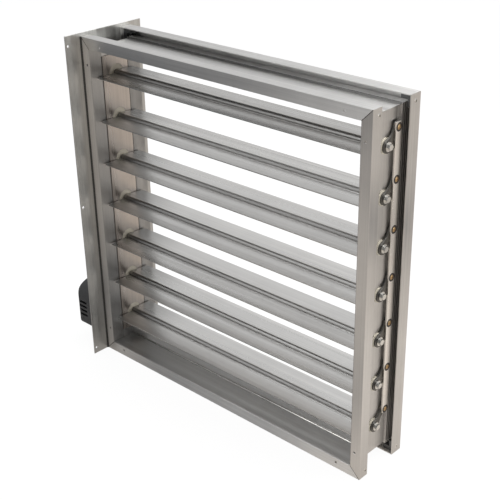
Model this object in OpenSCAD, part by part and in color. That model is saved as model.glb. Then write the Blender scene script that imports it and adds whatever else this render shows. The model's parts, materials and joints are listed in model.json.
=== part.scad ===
/* [Frame] */
// Width of the frame over its outer faces
frame_w = 641; // [500:1:900]
// Height of the frame over its outer faces
frame_h = 641; // [600:1:760]
// Depth of the frame along the duct
frame_depth = 116.3; // [114:0.1:150]
// Width of the flange faces round the opening
flange_w = 20.2; // [19:0.1:26]
// Wall of the frame sections
frame_wall = 2; // [1.6:0.1:2.4]
// Depth of the return lip behind the front flange
front_lip = 21.6; // [19:0.1:24]
// Depth of the return lip ahead of the rear flange
rear_lip = 24.7; // [23:0.1:27]
// Height of the ribs inside the section, at the rear
rib_h = 2.6; // [1:0.1:2.7]
// Length of each leg of a front corner key
key_leg = 30; // [22:1:40]
// Length of each leg of a rear corner key
rear_key_leg = 20; // [18:1:40]
// Thickness of a corner key
key_t = 8; // [6:0.1:8.5]
// Diameter of a corner screw
corner_screw_d = 4; // [3:0.1:5]
// Diameter of the mounting holes in the front flange
mount_hole_d = 4.8; // [3:0.1:6]
// Distance from a mounting hole to the frame's outer face
mount_inset = 12; // [8:0.1:14]
// Distance from a mounting hole to the frame's corner, along the flange
mount_corner = 50; // [30:1:90]

/* [Blades] */
// Height between the outermost blade's swing and its rail
rail_margin = 11.375; // [9:0.005:14]
// Overlap of two closed blades
blade_overlap = 4.45; // [2:0.05:6]
// Gap between a blade's end and the post
blade_end_gap = 3.2; // [3:0.1:4.5]
// Skin of the hollow blade
blade_skin = 1.5; // [1.2:0.1:1.8]
// Thickness of the blade's edges
blade_edge_t = 1.8; // [1.4:0.1:2.2]
// Height of the rear edge above the axle line
rear_edge_rise = 1.2; // [0.8:0.1:2]
// Depth of the front edge below the axle line
front_edge_drop = 1.6; // [1.5:0.1:2.4]
// Depth of the front half's top skin below the axle line, at the hub
front_root_drop = 0.8; // [0.4:0.1:1.2]
// Crown of the blade's skins
skin_crown = 0.6; // [0:0.1:1]
// Radius of the bead along the front half's root
bead_r = 1.2; // [0.8:0.1:1.3]
// Diameter of the axles
axle_d = 9.5; // [8:0.1:12]
// Wall of the blade's hub round the axle
hub_wall = 1.5; // [1.2:0.1:2]
// Angle through which the blades turn from open to closed
blade_travel = 90; // [60:1:90]

/* [Bushes, seals and stops] */
// Diameter of the bush's flange inside the opening
bush_flange_d = 31; // [24:0.1:36]
// Thickness of the bush's flange inside the opening
bush_flange_t = 1.8; // [1.4:0.1:2.4]
// Diameter of the bush's sleeve through the post
bush_sleeve_d = 15; // [13:0.1:18]
// Diameter of the bush's flange in the channel
bush_collar_d = 25; // [20:0.1:28]
// Thickness of the bush's flange in the channel
bush_collar_t = 2.5; // [1.5:0.1:3]
// Width of the jamb seals
jamb_seal_w = 58; // [50:1:64]
// Thickness of the jamb seals
jamb_seal_t = 0.5; // [0.4:0.05:0.8]
// Height of the blade stops' upright leg
stop_leg = 16; // [13:0.5:18]
// Width of the blade stops' foot
stop_foot = 14; // [8:0.5:20]
// Wall of the blade stops
stop_t = 2; // [1.5:0.1:2.5]
// Width of the seal strips on the stops
stop_seal_w = 9; // [6:0.5:10]
// Thickness of the seal strips on the stops
stop_seal_t = 1.5; // [1:0.1:2]

/* [Linkage] */
// Distance from the axle to the crank arm's pivot
arm_reach = 33.5; // [30:0.1:34]
// Angle of the crank arms above the rearward line with the blades open
arm_angle = 50; // [44:1:53]
// Thickness of the crank arms
arm_t = 3; // [2:0.1:3.4]
// Diameter of the crank arm's hub
arm_hub_d = 21.7; // [19:0.1:24]
// Diameter of the crank arm's tip
arm_tip_d = 16; // [12:0.1:17]
// Radius of the crank arm's hollow flanks
arm_hollow_r = 22; // [20:1:60]
// Width of the tie bar
bar_w = 15.6; // [13:0.1:17]
// Length of the tie bar above its top pivot
bar_head = 8.5; // [5:0.1:9]
// Length of the tie bar below its lowest pivot
bar_foot = 5.5; // [5:0.1:9]
// Thickness of the tie bar
bar_t = 2.8; // [2:0.1:3.2]
// Diameter of the pivot rivets
pivot_d = 6; // [4:0.1:7]
// Diameter of the pivot rivets' heads
pivot_head_d = 9; // [8.5:0.1:12]
// Height of the pivot rivets' heads
pivot_head_t = 1.5; // [1:0.1:2]
// Diameter of the axle screws' washers
washer_d = 15; // [13:0.1:18]
// Thickness of the axle screws' washers
washer_t = 1.5; // [0.8:0.1:2]
// Diameter of the axle screws
axle_screw_d = 5; // [3:0.1:6]
// Length of the axle screws below the washer
axle_screw_len = 16; // [10:0.5:24]

/* [Side plate] */
// Thickness of the side plate
plate_t = 2; // [1.5:0.1:3]
// Reach of the side plate ahead of the frame
plate_front = 35; // [20:0.5:50]
// Reach of the side plate behind the frame
plate_rear = 24.5; // [18:0.5:40]
// Height of the side plate above the frame
plate_top = 6.5; // [0:0.1:8]
// Diameter of the fixing holes in the front strip
strip_hole_d = 5; // [3:0.1:8]
// Diameter of the plate rivets
rivet_d = 4.8; // [3:0.1:6]
// Diameter of the plate rivets' heads
rivet_head_d = 8.6; // [7.5:0.1:11]
// Height of the plate rivets' heads
rivet_head_t = 1.3; // [0.8:0.1:2]

/* [Actuator] */
// Gap between the side plate and the actuator
actuator_standoff = 10; // [9:0.1:14]
// Depth of the actuator, base and cover together
actuator_depth = 70; // [66:0.5:74]
// Reach of the actuator ahead of the axle
actuator_front = 62; // [61:0.1:66]
// Reach of the actuator behind the axle
actuator_rear = 73.4; // [72:0.1:90]
// Reach of the actuator below the axle
actuator_below = 37; // [36:0.1:40]
// Reach of the actuator above the axle
actuator_above = 65; // [64.5:0.1:70]
// Wall of the actuator's cover
cover_wall = 2.5; // [2:0.1:2.8]
// Thickness of the actuator's base
base_t = 3; // [2.5:0.1:4]
// Radius of the housing's upper front corner, seen from the side
housing_round = 58; // [50:0.5:59]
// Radius of the cover's upper outer edge
cover_round_top = 35; // [25:0.5:36]
// Radius of the cover's lower outer edge
cover_round_low = 11; // [4:0.5:12]
// Radius of the cover's upright outer edges
cover_round_end = 8; // [5:0.5:12]
// Height of a vent slot
vent_h = 5; // [4:0.1:7]
// Length of a vent slot from its inner end to the cover's corner
vent_len = 27; // [12:0.5:28]
// Distance between vent slots
vent_pitch = 9.5; // [9:0.1:10]
// Height of the uppermost vent slot above the axle
vent_top = 10.2; // [8:0.1:12]
// Number of vent slots
vent_count = 4; // [2:1:4]
// Travel of the release button
button_travel = 3; // [1:0.1:4]
// Diameter of the release button
button_d = 12; // [8:0.1:16]

/* [Gear train] */
// Teeth in a full turn of the output wheel
output_teeth = 60; // [60]
// Teeth of the two pinions
pinion_teeth = 12; // [12]
// Teeth of the reduction wheel
wheel_teeth = 48; // [48]
// Tooth size of the output stage, pitch diameter over teeth
output_module = 1; // [0.9:0.01:1.02]
// Tooth size of the motor stage, pitch diameter over teeth
motor_module = 0.8; // [0.7:0.01:0.82]
// Width of the output wheel
output_face = 8; // [6:0.1:9]
// Width of the reduction wheel
wheel_face = 5; // [4:0.1:6]
// Direction of the reduction gear from the axle, above the rearward line
train_angle = 60; // [56:1:62]
// Outer diameter of the output hub
output_hub_d = 22; // [18:0.1:24]
// Outer diameter of the motor
motor_d = 30; // [24:0.5:32]

/* [Hidden] */
$fn = 64;
overrun = 1;
seat_gap = 0.2;
run_gap = 0.3;
fit_gap = 0.05;
blade_count = 7;
blade_numbers = [1 : blade_count];

half_w = frame_w / 2;
half_h = frame_h / 2;
opening_half_w = half_w - flange_w;
opening_half_h = half_h - flange_w;
channel_depth = flange_w - frame_wall;
axle_y = (front_lip + frame_depth - rear_lip) / 2;
blade_pitch = 2 * (opening_half_h - rail_margin) / blade_count;
function axle_z(k) = ((blade_count + 1) / 2 - k) * blade_pitch;
drive_z = axle_z(blade_count);

// Frame section details
rib_count = 4;
rib_w = 2.4;
rib_pitch = 5;
rib_y = frame_depth - frame_wall - rib_count * rib_pitch;
key_setback = 0.25 * rear_lip;
corner_screw_inset = mount_inset;
corner_screw_front_y = frame_wall + 0.66 * (front_lip - frame_wall);
corner_screw_rear_y = frame_depth - rear_lip / 2;
corner_screw_head_d = 1.8 * corner_screw_d;
corner_screw_head_t = 0.8 * frame_wall;
corner_screw_len = frame_wall + seat_gap + 0.75 * key_t;
corner_screw_rise = 0.22 * corner_screw_d;
corner_screw_socket_d = 0.45 * corner_screw_head_d;

// Blades, with u rearward from the axle and v upward
blade_half = (blade_pitch + blade_overlap) / 2;
blade_half_w = opening_half_w - blade_end_gap;
hub_r = axle_d / 2 + fit_gap + hub_wall;
skin_steps = 8;
rear_cavity_share = 0.7;
front_cavity_share = 0.42;
cavity_root_share = 0.06;
wing_root_share = 0.35;
wing_root_v = 0.92 * hub_r;
function wing_u(share) = wing_root_share * hub_r + share * (blade_half - wing_root_share * hub_r);
function skin(share, root, edge) = root + (edge - root) * share
    + sign(root - edge) * skin_crown * 4 * share * (1 - share);
function rear_top(share) = skin(share, wing_root_v, rear_edge_rise);
function rear_low(share) = skin(share, -wing_root_v, rear_edge_rise - blade_edge_t);
function front_top(share) = skin(share, -front_root_drop, -front_edge_drop);
function front_low(share) = skin(share, -wing_root_v, -front_edge_drop - blade_edge_t);

// Bushes, seals and stops
bush_recess_d = axle_d + 0.5 * (bush_sleeve_d - axle_d) + 2 * hub_wall;
bush_recess_depth = bush_flange_t / 2;
jamb_seal_bow = blade_end_gap - run_gap - jamb_seal_t - seat_gap;
jamb_seal_r = (pow(jamb_seal_w / 2, 2) + pow(jamb_seal_bow, 2)) / (2 * jamb_seal_bow);
jamb_seal_hole_r = bush_flange_d / 2 + run_gap;
jamb_seal_half_h = opening_half_h - stop_leg - stop_t;
stop_half_w = opening_half_w - run_gap;
stop_seal_lift = (stop_leg - stop_seal_w) / 2;
stop_seal_share = (drive_z + opening_half_h - stop_seal_lift - stop_seal_w) / blade_half;
low_stop_y = axle_y + rear_low(stop_seal_share) - run_gap - stop_seal_t - seat_gap - stop_t;
top_stop_y = axle_y + front_top(stop_seal_share) + run_gap + stop_seal_t + seat_gap;

// Linkage, with heights outward from the right post's web
arm_h = seat_gap + bush_collar_t + run_gap;
bar_h = arm_h + arm_t + run_gap;
arm_bore_r = axle_d / 2 + fit_gap;
axle_flat = 0.36 * axle_d;
pivot_dy = arm_reach * cos(arm_angle);
pivot_dz = arm_reach * sin(arm_angle);
waist_steps = 12;
axle_screw_head_d = 0.7 * washer_d;
axle_screw_head_t = 0.9 * axle_screw_d;
pivot_bore_d = 0.4 * pivot_d;
pivot_bore_depth = pivot_head_t + bar_t / 2;
open_pivot_gap = 0.3;

// Side plate, whose outer face carries the actuator
plate_face = half_w + seat_gap + plate_t;
strip_hole_y = -0.83 * plate_front;
strip_hole_inset = mount_inset;
rivet_count = 5;
rivet_inset = 4 * mount_inset;
axle_pass_r = axle_d / 2 + 4 * hub_wall;

// Actuator, with u outward from the side plate, y and z from the driven axle
base_u = actuator_standoff;
cover_u = base_u + base_t + seat_gap;
outer_u = base_u + actuator_depth;
post_r = 3;
cover_post_r = 5;
cover_post_bite = 1;
cover_post_len = 17;
cover_post_angle = 20;
cover_screw_d = 3;
cover_screw_head_d = 6;
cover_screw_head_t = 0.6 * base_t;
cover_screw_len = base_t + 0.6 * cover_post_len;
bracket_t = 2.5;
bracket_screw_d = 5;
bracket_screw_head_d = 9;
bracket_screw_head_t = 2.4;
bracket_foot_d = 12;
bracket_margin = 8;
bracket_y = [-0.62 * actuator_front, 0.7 * actuator_rear];
bracket_z = [-0.35 * actuator_below, 0.55 * actuator_above];

// Gear train, from the side plate outward
gear_lift = 2 * seat_gap + bracket_screw_head_t;
sector_u = cover_u + gear_lift;
pinion_len = output_face + 2 * seat_gap;
wheel_u = sector_u + pinion_len + overrun;
gear_plate_t = 1.6;
gear_plate_u = wheel_u + wheel_face + overrun;
motor_u = gear_plate_u + gear_plate_t + seat_gap;
motor_len = outer_u - cover_wall - motor_u - 2 * overrun - cover_round_end;
output_centre = output_module * (output_teeth + pinion_teeth) / 2;
motor_centre = motor_module * (wheel_teeth + pinion_teeth) / 2;
train_y = output_centre * cos(train_angle);
train_z = output_centre * sin(train_angle);
motor_y = train_y - motor_centre;
train_pin_d = 5;
motor_shaft_d = 3.2;
motor_boss_d = 9;
pressure_angle = 20;
addendum_share = 0.75;
dedendum_share = 1;
backlash = 0.22;
flank_steps = 4;
spare_teeth = 2;
gear_post_y = [-34, -30, 42, 46];
gear_post_z = [12, 44, 8, 50];
gear_plate_margin = 5.5;
board_t = 1.6;
board_u = motor_u + motor_len / 2;
board_z = [-0.75 * actuator_below, 0.62 * actuator_above];
board_post_y = [39, 60, 60];
board_post_z = [-22, -23, 30];

// Output hub, clamp and pointer outside the cover
pointer_t = 2.5;
pointer_u = outer_u + run_gap;
pointer_d = 1.5 * output_hub_d;
hub_end_u = pointer_u + pointer_t;
clamp_u = hub_end_u + run_gap;
clamp_len = 9;
clamp_d = 1.25 * output_hub_d;
clamp_slit = 2;
clamp_bolt_d = 4;
clamp_bolt_head_d = 7;
clamp_bolt_head_t = 4;
clamp_bolt_y = (clamp_d / 2 + axle_d / 2) / 2 + overrun;
clamp_lug = 0.36 * clamp_d;
drive_axle_end_u = clamp_u + clamp_len + 2 * overrun;

button_y = -0.66 * actuator_front;
button_z = 4;
button_rise = button_travel - 0.5 * overrun;
guide_len = 12;
guide_wall = 2.5;
guide_r = button_d / 2 + run_gap + guide_wall;
button_collar_t = 2;
gland_u = base_u + 0.46 * actuator_depth;
gland_z = -0.3 * actuator_below;
gland_thread_d = 12;
gland_bore_d = 6.5;
gland_hex_d = 18;
gland_hex_t = 5;
gland_dome_len = 12;
gland_nut_t = 3;
gland_neck = cover_wall + gland_nut_t + 3 * overrun;
board_y = [train_y - post_r, actuator_rear - gland_neck - overrun];

// Extrudes a shape drawn in y and z along x
module along_x(x, len) {
    translate([x, 0, 0]) rotate([90, 0, 90]) linear_extrude(len) children();
}

// Rod along x, centred on y and z
module rod_x(x, len, r) {
    translate([x, 0, 0]) rotate([90, 0, 90]) cylinder(h = len, r = r);
}

// Cone along x
module cone_x(x, len, r1, r2) {
    translate([x, 0, 0]) rotate([90, 0, 90]) cylinder(h = len, r1 = r1, r2 = r2);
}

// Rounded head on a shank, for rivets and screws
module dome_x(x, height, r) {
    ball_r = (r * r + height * height) / (2 * height);
    translate([x, 0, 0]) rotate([90, 0, 90]) intersection() {
        translate([0, 0, height - ball_r]) sphere(ball_r, $fn = 48);
        cylinder(h = height, r = r);
    }
}

// Points of the hollow flank between two circles on the x axis, on one side of it
function flank_arc(r1, r2, distance, hollow, side) = let (
    cx = (pow(distance, 2) + pow(r1 + hollow, 2) - pow(r2 + hollow, 2)) / (2 * distance),
    cy = sqrt(pow(r1 + hollow, 2) - pow(cx, 2)),
    start = atan2(-cy, -cx),
    end = atan2(-cy, distance - cx)
) [for (i = [0 : waist_steps]) let (a = start + (end - start) * i / waist_steps)
    [cx + hollow * cos(a), side * (cy + hollow * sin(a))]];

// Web between two circles, waisted on both sides
module waist(r1, r2, distance, hollow) {
    low = flank_arc(r1, r2, distance, hollow, -1);
    polygon(concat(
        flank_arc(r1, r2, distance, hollow, 1),
        [[distance, 0]],
        [for (i = [waist_steps : -1 : 0]) low[i]],
        [[0, 0]]
    ));
}

// Frame section: x runs inward from the outer face, y along the duct
module frame_section() {
    square([flange_w, frame_wall]);
    square([frame_wall, front_lip]);
    translate([channel_depth, 0]) square([frame_wall, frame_depth]);
    translate([0, frame_depth - frame_wall]) square([flange_w, frame_wall]);
    translate([0, frame_depth - rear_lip]) square([frame_wall, rear_lip]);
    for (i = [0 : rib_count - 1])
        translate([channel_depth - rib_h, rib_y + i * rib_pitch - rib_w / 2])
            square([rib_h + frame_wall / 2, rib_w]);
}

// One mitred length of frame along x, its outer face down at z = 0
module frame_member(length) {
    half = length / 2 - seat_gap / 2;
    intersection() {
        rotate([0, -90, 0]) linear_extrude(length, center = true) frame_section();
        translate([0, frame_depth + overrun, 0]) rotate([90, 0, 0])
            linear_extrude(frame_depth + 2 * overrun)
                polygon([[-half, 0], [half, 0], [half - flange_w, flange_w], [flange_w - half, flange_w]]);
    }
}

// Mounting holes through the front flange of a member
module mount_holes(length) {
    for (side = [-1, 1])
        translate([side * (length / 2 - mount_corner), -overrun, mount_inset])
            rotate([-90, 0, 0]) cylinder(h = frame_wall + 2 * overrun, d = mount_hole_d);
}

module rail() {
    difference() {
        frame_member(frame_w);
        mount_holes(frame_w);
    }
}

// Places a child at each corner screw of the left post, looking inward along x
module at_corner_screws() {
    for (end = [-1, 1], y = [corner_screw_front_y, corner_screw_rear_y])
        translate([-half_w, y, end * (half_h - corner_screw_inset)]) children();
}

module corner_screw(gap) {
    cone_x(-gap, corner_screw_head_t + gap, corner_screw_head_d / 2 + gap, corner_screw_d / 2 + gap);
    rod_x(corner_screw_head_t, corner_screw_len - corner_screw_head_t + gap, corner_screw_d / 2 + gap);
}

// Places a child at each bush of the left post's web
module at_bushes() {
    for (k = blade_numbers) translate([-opening_half_w, axle_y, axle_z(k)]) children();
}

// Places a child at each plate rivet, on the side plate's outer face
module at_rivets() {
    spacing = (frame_h - 2 * rivet_inset) / (rivet_count - 1);
    for (y = [front_lip / 2, frame_depth - rear_lip / 2], i = [0 : rivet_count - 1])
        translate([-plate_face, y, rivet_inset - half_h + i * spacing]) children();
}

module plain_post() {
    difference() {
        translate([-half_w, 0, 0]) rotate([0, 90, 0]) difference() {
            frame_member(frame_h);
            mount_holes(frame_h);
        }
        at_corner_screws() corner_screw(fit_gap);
        at_bushes() rod_x(-frame_wall - overrun, frame_wall + 2 * overrun, bush_sleeve_d / 2 + seat_gap / 2);
    }
}

module top_rail() {
    color([0.72, 0.73, 0.74]) mirror([0, 0, 1]) translate([0, 0, -half_h]) rail();
}

module bottom_rail() {
    color([0.72, 0.73, 0.74]) translate([0, 0, -half_h]) rail();
}

module left_post() {
    color([0.70, 0.70, 0.71]) difference() {
        plain_post();
        at_rivets() rod_x(0, plate_t + frame_wall + overrun, rivet_d / 2 + fit_gap);
    }
}

module right_post() {
    color([0.70, 0.70, 0.71]) mirror([1, 0, 0]) plain_post();
}

// L-shaped key in the lower left corner of the frame
module corner_key(y, length, leg) {
    near = frame_wall + seat_gap;
    translate([-half_w, y + length, -half_h]) rotate([90, 0, 0]) linear_extrude(length)
        translate([near, near]) {
            square([key_t, leg]);
            square([leg, key_t]);
        }
}

module left_corner_keys() {
    near = frame_wall + seat_gap;
    difference() {
        for (end = [0, 1]) mirror([0, 0, end]) {
            corner_key(near, front_lip - near, key_leg);
            corner_key(frame_depth - rear_lip + key_setback, rear_lip - key_setback - near, rear_key_leg);
        }
        at_corner_screws() corner_screw(fit_gap);
    }
}

module corner_keys() {
    color([0.45, 0.45, 0.46]) for (side = [0, 1]) mirror([side, 0, 0]) left_corner_keys();
}

// Countersunk screws with a hexagon socket; those of the right post, clear of the side plate, stand proud
module corner_screws() {
    color([0.40, 0.40, 0.42]) for (side = [0, 1]) mirror([side, 0, 0]) at_corner_screws() difference() {
        union() {
            corner_screw(0);
            if (side == 1) mirror([1, 0, 0]) dome_x(0, corner_screw_rise, corner_screw_head_d / 2);
        }
        translate([-corner_screw_rise, 0, 0]) rotate([90, 0, 90])
            cylinder(h = corner_screw_rise + corner_screw_head_t, d = corner_screw_socket_d, $fn = 6);
    }
}

module side_plate() {
    color([0.66, 0.66, 0.67]) difference() {
        translate([-plate_face, -plate_front, -half_h])
            cube([plate_t, plate_front + frame_depth + plate_rear, frame_h + plate_top]);
        at_rivets() rod_x(-overrun, plate_t + 2 * overrun, rivet_d / 2 + fit_gap);
        for (z = [strip_hole_inset - half_h, 0, half_h - strip_hole_inset])
            translate([-plate_face, strip_hole_y, z])
                rod_x(-overrun, plate_t + 2 * overrun, strip_hole_d / 2);
        on_plate() rod_x(-plate_t - overrun, plate_t + 2 * overrun, axle_pass_r);
        on_plate() at_bracket_feet()
            rod_x(-plate_t - overrun, plate_t + 2 * overrun, bracket_screw_d / 2 + fit_gap);
    }
}

module plate_rivets() {
    color([0.60, 0.60, 0.62]) at_rivets() {
        mirror([1, 0, 0]) dome_x(fit_gap, rivet_head_t, rivet_head_d / 2);
        rod_x(-fit_gap, plate_t + seat_gap + frame_wall + fit_gap, rivet_d / 2);
    }
}

// Bowed strip on the left post's inner face
module jamb_seal() {
    color([0.50, 0.48, 0.47]) difference() {
        translate([-opening_half_w + seat_gap, axle_y, -jamb_seal_half_h]) linear_extrude(2 * jamb_seal_half_h)
            intersection() {
                translate([jamb_seal_bow + jamb_seal_t - jamb_seal_r - jamb_seal_t, 0]) difference() {
                    circle(jamb_seal_r + jamb_seal_t, $fn = 256);
                    circle(jamb_seal_r, $fn = 256);
                }
                translate([0, -jamb_seal_w / 2]) square([blade_end_gap, jamb_seal_w]);
            }
        at_bushes() rod_x(-overrun, blade_end_gap + 2 * overrun, jamb_seal_hole_r);
    }
}

module left_jamb_seal() {
    jamb_seal();
}

module right_jamb_seal() {
    mirror([1, 0, 0]) jamb_seal();
}

// Bush through the left post's web, with its running bore
module bush() {
    difference() {
        union() {
            rod_x(seat_gap, bush_flange_t, bush_flange_d / 2);
            rod_x(-frame_wall - seat_gap, frame_wall + 2 * seat_gap, bush_sleeve_d / 2);
            rod_x(-frame_wall - seat_gap - bush_collar_t, bush_collar_t, bush_collar_d / 2);
        }
        rod_x(-frame_wall - bush_collar_t - overrun, flange_w + overrun, axle_d / 2 + fit_gap);
        rod_x(seat_gap + bush_flange_t - bush_recess_depth, flange_w, bush_recess_d / 2);
    }
}

module left_bushes() {
    color([0.86, 0.82, 0.70]) at_bushes() bush();
}

module right_bushes() {
    color([0.86, 0.82, 0.70]) mirror([1, 0, 0]) at_bushes() bush();
}

// Angle along the bottom rail, in front of the closed blade's rear edge
module bottom_blade_stop() {
    color([0.62, 0.62, 0.63]) translate([-stop_half_w, low_stop_y, -opening_half_h + seat_gap]) {
        cube([2 * stop_half_w, stop_t, stop_leg]);
        cube([2 * stop_half_w, stop_foot, stop_t]);
    }
}

// Angle along the top rail, behind the closed blade's front edge
module top_blade_stop() {
    color([0.62, 0.62, 0.63]) translate([-stop_half_w, top_stop_y, opening_half_h - seat_gap]) mirror([0, 0, 1]) {
        cube([2 * stop_half_w, stop_t, stop_leg]);
        cube([2 * stop_half_w, stop_foot, stop_t]);
    }
}

module stop_seals() {
    color([0.15, 0.15, 0.15]) {
        translate([-stop_half_w, low_stop_y + stop_t + seat_gap, -opening_half_h + stop_seal_lift])
            cube([2 * stop_half_w, stop_seal_t, stop_seal_w]);
        translate([-stop_half_w, top_stop_y - seat_gap - stop_seal_t, opening_half_h - stop_seal_lift])
            mirror([0, 0, 1]) cube([2 * stop_half_w, stop_seal_t, stop_seal_w]);
    }
}

// Outline between a top and a low skin, through a list of shares of the half chord
module wing(side, shares, top, low, inset) {
    last = len(shares) - 1;
    polygon(concat(
        [for (i = [0 : last]) [side * wing_u(shares[i]), top[i] - inset]],
        [for (i = [last : -1 : 0]) [side * wing_u(shares[i]), low[i] + inset]]
    ));
}

module rear_wing(shares, inset) {
    wing(1, shares, [for (s = shares) rear_top(s)], [for (s = shares) rear_low(s)], inset);
}

module front_wing(shares, inset) {
    wing(-1, shares, [for (s = shares) front_top(s)], [for (s = shares) front_low(s)], inset);
}

// Hub with a hollow wing each side, the rear one's top standing above the front one's
module blade(k) {
    whole = [for (i = [0 : skin_steps]) i / skin_steps];
    root = hub_r / blade_half + cavity_root_share;
    length = 2 * blade_half_w;
    cut_x = -blade_half_w - overrun;
    cut_len = length + 2 * overrun;
    color([0.70, 0.66, 0.64]) translate([0, axle_y, axle_z(k)]) difference() {
        union() {
            rod_x(-blade_half_w, length, hub_r);
            along_x(-blade_half_w, length) rear_wing(whole, 0);
            along_x(-blade_half_w, length) front_wing(whole, 0);
            translate([0, -hub_r - 2 * bead_r, -front_root_drop]) rod_x(-blade_half_w, length, bead_r);
        }
        rod_x(cut_x, cut_len, axle_d / 2 + fit_gap);
        along_x(cut_x, cut_len) rear_wing([root, (root + rear_cavity_share) / 2, rear_cavity_share], blade_skin);
        along_x(cut_x, cut_len) front_wing([root, (root + front_cavity_share) / 2, front_cavity_share], blade_skin);
    }
}

// Axle with a flat on its right end for the crank arm; the driven axle runs on through the actuator
module axle(k) {
    web_face = opening_half_w + frame_wall;
    left_end = k == blade_count ? plate_face + drive_axle_end_u : web_face + bush_collar_t + overrun;
    right_end = web_face + arm_h + arm_t - run_gap;
    color([0.66, 0.67, 0.69]) translate([0, axle_y, axle_z(k)]) difference() {
        rod_x(-left_end, left_end + right_end, axle_d / 2);
        translate([web_face + arm_h, -axle_d, axle_flat]) cube([arm_t, 2 * axle_d, axle_d]);
        rod_x(right_end - axle_screw_len, axle_screw_len + overrun, axle_screw_d / 2 + fit_gap);
    }
}

// Places a child on the right post's web, at an axle
module on_web(k) {
    translate([opening_half_w + frame_wall, axle_y, axle_z(k)]) children();
}

module crank_arm(k) {
    color([0.24, 0.25, 0.27]) on_web(k) rotate([arm_angle, 0, 0]) difference() {
        union() {
            rod_x(arm_h, arm_t, arm_hub_d / 2);
            translate([0, arm_reach, 0]) rod_x(arm_h, arm_t, arm_tip_d / 2);
            along_x(arm_h, arm_t) waist(arm_hub_d / 2 - fit_gap, arm_tip_d / 2 - fit_gap, arm_reach, arm_hollow_r);
        }
        rotate([-arm_angle, 0, 0]) intersection() {
            rod_x(arm_h - overrun, arm_t + 2 * overrun, arm_bore_r);
            translate([arm_h - 2 * overrun, -axle_d, -axle_d])
                cube([arm_t + 4 * overrun, 2 * axle_d, axle_d + axle_flat + fit_gap]);
        }
        translate([0, arm_reach, 0]) rod_x(arm_h - overrun, arm_t + 2 * overrun, pivot_d / 2 + fit_gap);
    }
}

// Hexagon screw on its washer
module axle_screw() {
    seat = arm_h + arm_t + seat_gap;
    rod_x(seat - axle_screw_len + run_gap, axle_screw_len + washer_t, axle_screw_d / 2);
    rod_x(seat, washer_t, washer_d / 2);
    translate([seat + washer_t, 0, 0]) rotate([90, 0, 90])
        cylinder(h = axle_screw_head_t, d = axle_screw_head_d, $fn = 6);
}

// Tubular rivet, open at its head
module pivot_rivet() {
    head_x = bar_h + bar_t + run_gap;
    difference() {
        union() {
            rod_x(arm_h, head_x - arm_h, pivot_d / 2);
            dome_x(head_x, pivot_head_t, pivot_head_d / 2);
        }
        rod_x(head_x + pivot_head_t - pivot_bore_depth, pivot_bore_depth + overrun, pivot_bore_d / 2);
    }
}

module crank_fasteners(k) {
    on_web(k) {
        color([0.66, 0.60, 0.48]) axle_screw();
        color([0.72, 0.50, 0.26]) translate([0, pivot_dy, pivot_dz]) pivot_rivet();
    }
}

// Flat bar over the seven pivots, a running fit on the driven arm and loose on the others
module tie_bar() {
    color([0.66, 0.63, 0.60]) on_web(blade_count) translate([0, pivot_dy, pivot_dz]) difference() {
        translate([bar_h, -bar_w / 2, -bar_foot])
            cube([bar_t, bar_w, bar_foot + (blade_count - 1) * blade_pitch + bar_head]);
        rod_x(bar_h - overrun, bar_t + 2 * overrun, pivot_d / 2 + fit_gap);
        for (k = [1 : blade_count - 1])
            translate([0, 0, k * blade_pitch])
                rod_x(bar_h - overrun, bar_t + 2 * overrun, pivot_d / 2 + open_pivot_gap);
    }
}

// Places a child on the side plate's outer face at the driven axle, x running outward
module on_plate() {
    translate([-plate_face, axle_y, drive_z]) mirror([1, 0, 0]) children();
}

module at_bracket_feet() {
    for (y = bracket_y, z = bracket_z) translate([0, y, z]) children();
}

// Pressed plate on four feet between the side plate and the actuator
module actuator_bracket() {
    top = base_u - seat_gap;
    color([0.55, 0.56, 0.58]) on_plate() difference() {
        union() {
            translate([top - bracket_t, bracket_y[0] - bracket_margin, bracket_z[0] - bracket_margin])
                cube([bracket_t, bracket_y[1] - bracket_y[0] + 2 * bracket_margin,
                    bracket_z[1] - bracket_z[0] + 2 * bracket_margin]);
            at_bracket_feet()
                cone_x(seat_gap, top - bracket_t - seat_gap, bracket_foot_d / 2, bracket_foot_d / 2 + overrun);
        }
        rod_x(0, actuator_standoff, output_hub_d / 2 + run_gap);
        at_bracket_feet() rod_x(-overrun, actuator_standoff + overrun, bracket_screw_d / 2 + fit_gap);
    }
}

module bracket_screws() {
    color([0.60, 0.60, 0.62]) on_plate() at_bracket_feet() {
        rod_x(-plate_t, plate_t + base_u + base_t + seat_gap, bracket_screw_d / 2);
        dome_x(base_u + base_t + seat_gap / 2, bracket_screw_head_t, bracket_screw_head_d / 2);
    }
}

// Outline of the housing in u and z, drawn in by an inset
module housing_end_shape(u0, inset) {
    width = outer_u - inset - u0;
    low = inset - actuator_below;
    height = actuator_above + actuator_below - 2 * inset;
    difference() {
        translate([u0, low]) square([width, height]);
        translate([u0 + width, low + height]) corner_cut(cover_round_top - inset, 180);
        translate([u0 + width, low]) corner_cut(cover_round_low - inset, 90);
    }
}

// Outline of the housing in u and y, drawn in by an inset
module housing_plan_shape(u0, inset) {
    width = outer_u - inset - u0;
    length = actuator_front + actuator_rear - 2 * inset;
    difference() {
        translate([u0, inset - actuator_front]) square([width, length]);
        translate([u0 + width, inset - actuator_front]) corner_cut(cover_round_end - inset, 90);
        translate([u0 + width, actuator_rear - inset]) corner_cut(cover_round_end - inset, 180);
    }
}

// Outline of the housing in y and z, drawn in by an inset
module housing_side_shape(inset) {
    difference() {
        translate([inset - actuator_front, inset - actuator_below])
            square([actuator_front + actuator_rear - 2 * inset, actuator_above + actuator_below - 2 * inset]);
        translate([inset - actuator_front, actuator_above - inset]) corner_cut(housing_round - inset, -90);
    }
}

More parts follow.
